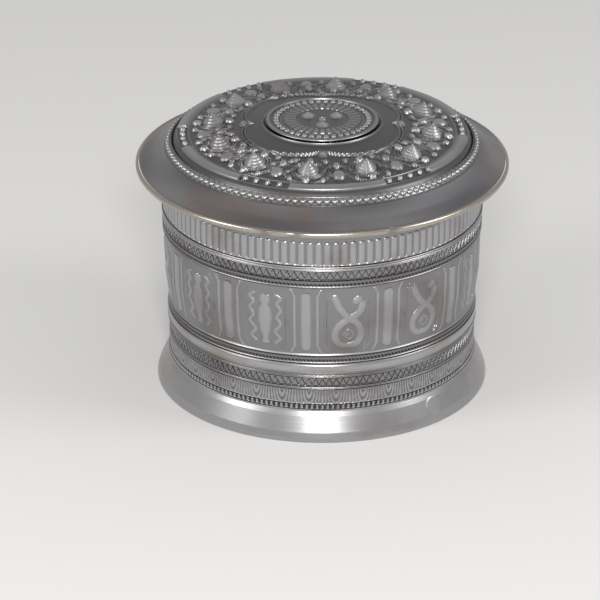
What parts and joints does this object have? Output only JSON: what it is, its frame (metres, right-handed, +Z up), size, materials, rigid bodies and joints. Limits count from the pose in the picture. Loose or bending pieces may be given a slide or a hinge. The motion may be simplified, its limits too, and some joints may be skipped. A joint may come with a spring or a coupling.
{
  "type": "betel box",
  "caption": "Round footed silver betel box with a broad-brimmed lift-off lid and an inner tray.",
  "frame": {"origin": "middle of the foot, on the surface that the box stands on", "axes": "+Z up along the box's axis of symmetry, -Y towards the front"},
  "size_m": [0.15, 0.15, 0.1129],
  "materials": {
    "tarnished_silver": "chased silver with dark tarnish in the hollows",
    "worn_silver": "silver worn brighter by handling",
    "dark_silver": "silver with black sulphide in its recesses",
    "inner_silver": "plain hammered and planished silver"
  },
  "bodies": {
    "box": {"foot_flare": "worn_silver", "foot_base_ring": "tarnished_silver", "notched_wire": "dark_silver", "engraved_band": "tarnished_silver", "lower_line_wire": "worn_silver", "lower_zigzag_band": "dark_silver", "middle_line_wire": "worn_silver", "half_round_band": "worn_silver", "lower_rope_wire": "tarnished_silver", "frieze_band": "tarnished_silver", "upper_rope_wire": "tarnished_silver", "upper_zigzag_band": "dark_silver", "upper_line_wire": "worn_silver", "fluted_band": "tarnished_silver", "drum_wall": "inner_silver", "drum_floor": "inner_silver", "mouth_ring": "tarnished_silver", "tray_ledge": "inner_silver"},
    "lid": {"lid_skirt": "inner_silver", "lid_edge_wire": "worn_silver", "lid_brim": "tarnished_silver", "lid_crown": "tarnished_silver", "lid_bead_ring": "worn_silver", "lid_medallion": "tarnished_silver"},
    "tray": {"tray_pan": "inner_silver", "tray_rim_wire": "worn_silver"}
  },
  "joints": [
    {"name": "lid_lift", "type": "slide", "parent": "box", "child": "lid", "axis": [0, 0, 1], "range_m": [0, 0.12]},
    {"name": "tray_lift", "type": "slide", "parent": "box", "child": "tray", "axis": [0, 0, 1], "range_m": [0, 0.06]}
  ],
  "couplings": [
    {"joint": "tray_lift", "follows": "lid_lift", "ratio": 0.5}
  ]
}
